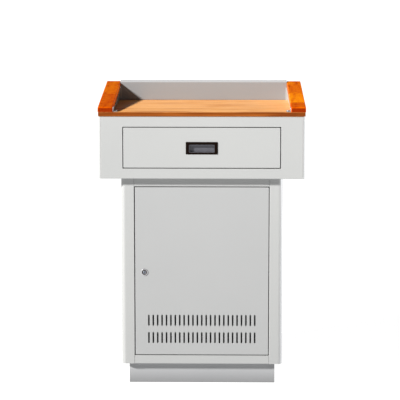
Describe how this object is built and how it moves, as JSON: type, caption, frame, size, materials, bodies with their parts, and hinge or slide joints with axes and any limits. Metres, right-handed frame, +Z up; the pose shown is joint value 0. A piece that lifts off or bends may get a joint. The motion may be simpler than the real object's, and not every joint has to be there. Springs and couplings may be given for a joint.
{
  "type": "lectern stand",
  "caption": "Steel lectern with a wooden desk, three-sided fence with wooden armrests, one wide drawer and a lower cabinet with a vented, lockable door.",
  "frame": {"origin": "on the floor, under the middle of the lectern's bounding box", "axes": "+Z up, -Y towards the speaker, who faces +Y, +X to the speaker's right"},
  "size_m": [0.75, 0.5, 1.087],
  "materials": {
    "steel_grey": "light grey powder coat, fine texture",
    "desk_laminate": "satin wood-grain laminate",
    "armrest_wood": "glossy amber lacquer",
    "handle_bronze": "satin dark bronze",
    "handle_cup": "satin grey",
    "lock_chrome": "polished",
    "lock_core": "satin",
    "zinc_steel": "zinc plated",
    "rubber": "matte"
  },
  "bodies": {
    "carcass": {"left_slide_outer": "zinc_steel", "right_slide_outer": "zinc_steel", "carcass_bolts": "zinc_steel", "carcass_nuts": "zinc_steel", "fence_bolts": "zinc_steel", "fence_nuts": "zinc_steel", "wood_screws": "zinc_steel", "rear_screws": "zinc_steel", "hinge_bracket_bottom": "zinc_steel", "hinge_bracket_top": "zinc_steel", "shelf_brackets": "zinc_steel", "rest_brackets": "zinc_steel", "bracket_screws": "zinc_steel", "stop_pads": "rubber", "cable_grommets": "rubber", "left_armrest": "armrest_wood", "right_armrest": "armrest_wood", "desktop_board": "desk_laminate", "desk_edge_band": "desk_laminate", "plinth_front": "steel_grey", "plinth_rear": "steel_grey", "plinth_left": "steel_grey", "plinth_right": "steel_grey", "base_panel": "steel_grey", "bottom_rail": "steel_grey", "top_rail": "steel_grey", "rear_top_rail": "steel_grey", "rear_panel": "steel_grey", "shelf": "steel_grey", "box_floor": "steel_grey", "front_fascia": "steel_grey", "box_rear_panel": "steel_grey", "box_rear_rail": "steel_grey", "fence_back_wall": "steel_grey", "cabinet_left_side": "steel_grey", "cabinet_right_side": "steel_grey", "box_left_side": "steel_grey", "box_right_side": "steel_grey", "fence_left_wall": "steel_grey", "fence_right_wall": "steel_grey", "left_drawer_partition": "steel_grey", "right_drawer_partition": "steel_grey"},
    "drawer": {"drawer_front": "steel_grey", "drawer_tray": "steel_grey", "handle_frame": "handle_bronze", "handle_cup": "handle_cup", "handle_screws": "zinc_steel", "left_slide_inner": "zinc_steel", "right_slide_inner": "zinc_steel"},
    "left_slide": {"left_slide_middle": "zinc_steel"},
    "right_slide": {"right_slide_middle": "zinc_steel"},
    "door": {"door_panel": "steel_grey", "door_stiffener": "steel_grey", "hinge_pin_bottom": "zinc_steel", "hinge_pin_top": "zinc_steel", "lock_body": "lock_chrome", "lock_nut": "zinc_steel"},
    "lock": {"lock_plug": "lock_core", "lock_cam": "zinc_steel", "cam_nut": "zinc_steel"}
  },
  "joints": [
    {"name": "drawer_slide", "type": "slide", "parent": "carcass", "child": "drawer", "axis": [0, -1, 0], "range_m": [0, 0.4]},
    {"name": "left_slide_travel", "type": "slide", "parent": "carcass", "child": "left_slide", "axis": [0, -1, 0], "range_m": [0, 0.2]},
    {"name": "right_slide_travel", "type": "slide", "parent": "carcass", "child": "right_slide", "axis": [0, -1, 0], "range_m": [0, 0.2]},
    {"name": "door_hinge", "type": "hinge", "parent": "carcass", "child": "door", "pos_m": [0.2318, -0.2106, 0.1095], "axis": [0, 0, 1], "range_deg": [0, 110]},
    {"name": "lock_turn", "type": "hinge", "parent": "door", "child": "lock", "pos_m": [-0.21, -0.2166, 0.4205], "axis": [0, 1, 0], "range_deg": [0, 90]}
  ],
  "couplings": [
    {"joint": "left_slide_travel", "follows": "drawer_slide", "ratio": 0.5},
    {"joint": "right_slide_travel", "follows": "drawer_slide", "ratio": 0.5}
  ]
}
